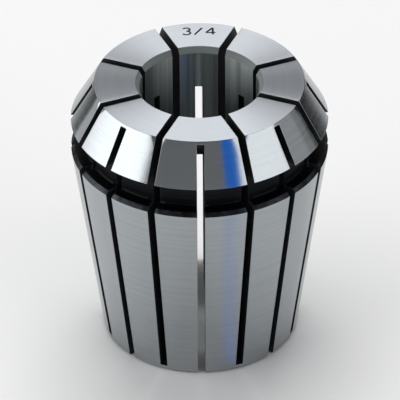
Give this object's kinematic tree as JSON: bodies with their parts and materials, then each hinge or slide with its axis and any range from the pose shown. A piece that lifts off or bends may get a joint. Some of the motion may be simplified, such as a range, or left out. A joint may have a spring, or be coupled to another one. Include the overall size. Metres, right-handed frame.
{
  "type": "er collet",
  "caption": "Slit spring-steel collet: long 8 degree taper, steep nose cone, extraction groove and plain bore, for clamping a round shank.",
  "frame": {"origin": "centre of the small rear face, on the axis", "axes": "+Z along the bore's axis, from the small rear face to the nose face; -Y and the other eighth turns point at slots open to the rear"},
  "size_m": [0.041, 0.041, 0.046],
  "materials": {
    "ground_steel": "finely ground spring steel, with darker unground slots and groove"
  },
  "bodies": {
    "root": {"collet": "ground_steel"}
  },
  "joints": []
}
